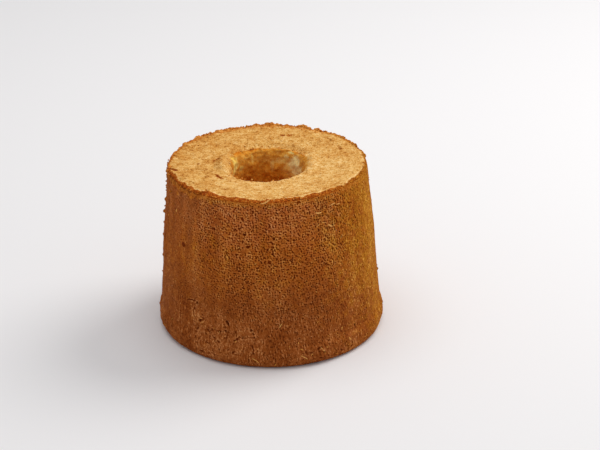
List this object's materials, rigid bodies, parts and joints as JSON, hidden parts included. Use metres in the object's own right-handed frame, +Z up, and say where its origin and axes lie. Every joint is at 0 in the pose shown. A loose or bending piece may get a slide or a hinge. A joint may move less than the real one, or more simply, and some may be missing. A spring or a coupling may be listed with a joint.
{
  "type": "chiffon cake",
  "caption": "Tall tapered ring of browned sponge standing on its wide end, with a slightly dished top, a swollen band round its foot and a hole down its middle.",
  "frame": {"origin": "middle of the underside, on the surface that the cake stands on", "axes": "+Z up, along the hole; +X to the right and +Y away, as seen from the side with the smooth skin patch"},
  "size_m": [0.1652, 0.165, 0.1257],
  "materials": {
    "cake_crust": "matte"
  },
  "bodies": {
    "root": {"chiffon_cake": "cake_crust"}
  },
  "joints": []
}
